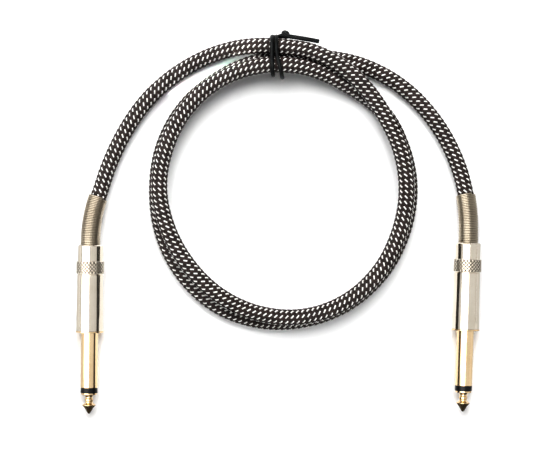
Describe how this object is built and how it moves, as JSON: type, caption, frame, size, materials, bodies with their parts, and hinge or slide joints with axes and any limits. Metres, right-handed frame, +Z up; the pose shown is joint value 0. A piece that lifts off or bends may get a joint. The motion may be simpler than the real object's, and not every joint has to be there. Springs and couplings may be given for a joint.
{
  "type": "instrument cable",
  "caption": "Coiled braided instrument cable with a straight 6.35 mm mono plug on each end: gold contacts, screw-on nickel shell, spring strain relief, and a twist tie round the coil.",
  "frame": {"origin": "middle of the outline seen from above, on the surface that the coil lies on", "axes": "+X right, from the left plug to the right plug; +Y away from the plug tips, towards the tie at the top of the coil; +Z up"},
  "size_m": [0.1521, 0.143, 0.0147],
  "materials": {
    "gold_plate": "polished gold plating",
    "nickel_plate": "polished warm nickel plating",
    "spring_steel": "satin plated wire",
    "black_plastic": "semi-gloss turned plastic",
    "fibre": "brown insulating fibre",
    "tinned": "tin-plated stamping",
    "solder": "smooth solder",
    "copper": "bare copper strands",
    "clear_insulation": "milky polyethylene",
    "braid": "black textile braid with off-white tracer yarns",
    "tie_plastic": "ribbed soft plastic over wire"
  },
  "bodies": {
    "cable": {"left_tip_contact": "gold_plate", "left_tip_insulator": "black_plastic", "left_sleeve_contact": "gold_plate", "left_rear_insulator": "fibre", "left_tip_lug": "tinned", "left_ground_lug": "tinned", "left_tip_solder": "solder", "left_ground_solder": "solder", "left_core_wire": "copper", "left_core_insulation": "clear_insulation", "left_shield_pigtail": "copper", "left_cable_end": "braid", "left_strain_spring": "spring_steel", "right_tip_contact": "gold_plate", "right_tip_insulator": "black_plastic", "right_sleeve_contact": "gold_plate", "right_rear_insulator": "fibre", "right_tip_lug": "tinned", "right_ground_lug": "tinned", "right_tip_solder": "solder", "right_ground_solder": "solder", "right_core_wire": "copper", "right_core_insulation": "clear_insulation", "right_shield_pigtail": "copper", "right_cable_end": "braid", "right_strain_spring": "spring_steel", "braided_cable": "braid", "twist_tie": "tie_plastic"},
    "left_liner": {"left_liner": "black_plastic"},
    "left_shell": {"left_shell": "nickel_plate"},
    "right_liner": {"right_liner": "black_plastic"},
    "right_shell": {"right_shell": "nickel_plate"}
  },
  "joints": [
    {"name": "left_shell_travel", "type": "slide", "parent": "cable", "child": "left_liner", "axis": [0.0105, 0.9999, 0], "range_m": [0, 0.0045]},
    {"name": "left_shell_turn", "type": "hinge", "parent": "left_liner", "child": "left_shell", "pos_m": [-0.07061, -0.0246, 0.0052], "axis": [0.0105, 0.9999, 0], "range_deg": [0, 2160]},
    {"name": "right_shell_travel", "type": "slide", "parent": "cable", "child": "right_liner", "axis": [0.0332, 0.9995, 0], "range_m": [0, 0.0045]},
    {"name": "right_shell_turn", "type": "hinge", "parent": "right_liner", "child": "right_shell", "pos_m": [0.07066, -0.02383, 0.0052], "axis": [0.0332, 0.9995, 0], "range_deg": [0, 2160]}
  ],
  "couplings": [
    {"joint": "left_shell_travel", "follows": "left_shell_turn", "m_per_rad": 0.00011936},
    {"joint": "right_shell_travel", "follows": "right_shell_turn", "m_per_rad": 0.00011936}
  ]
}
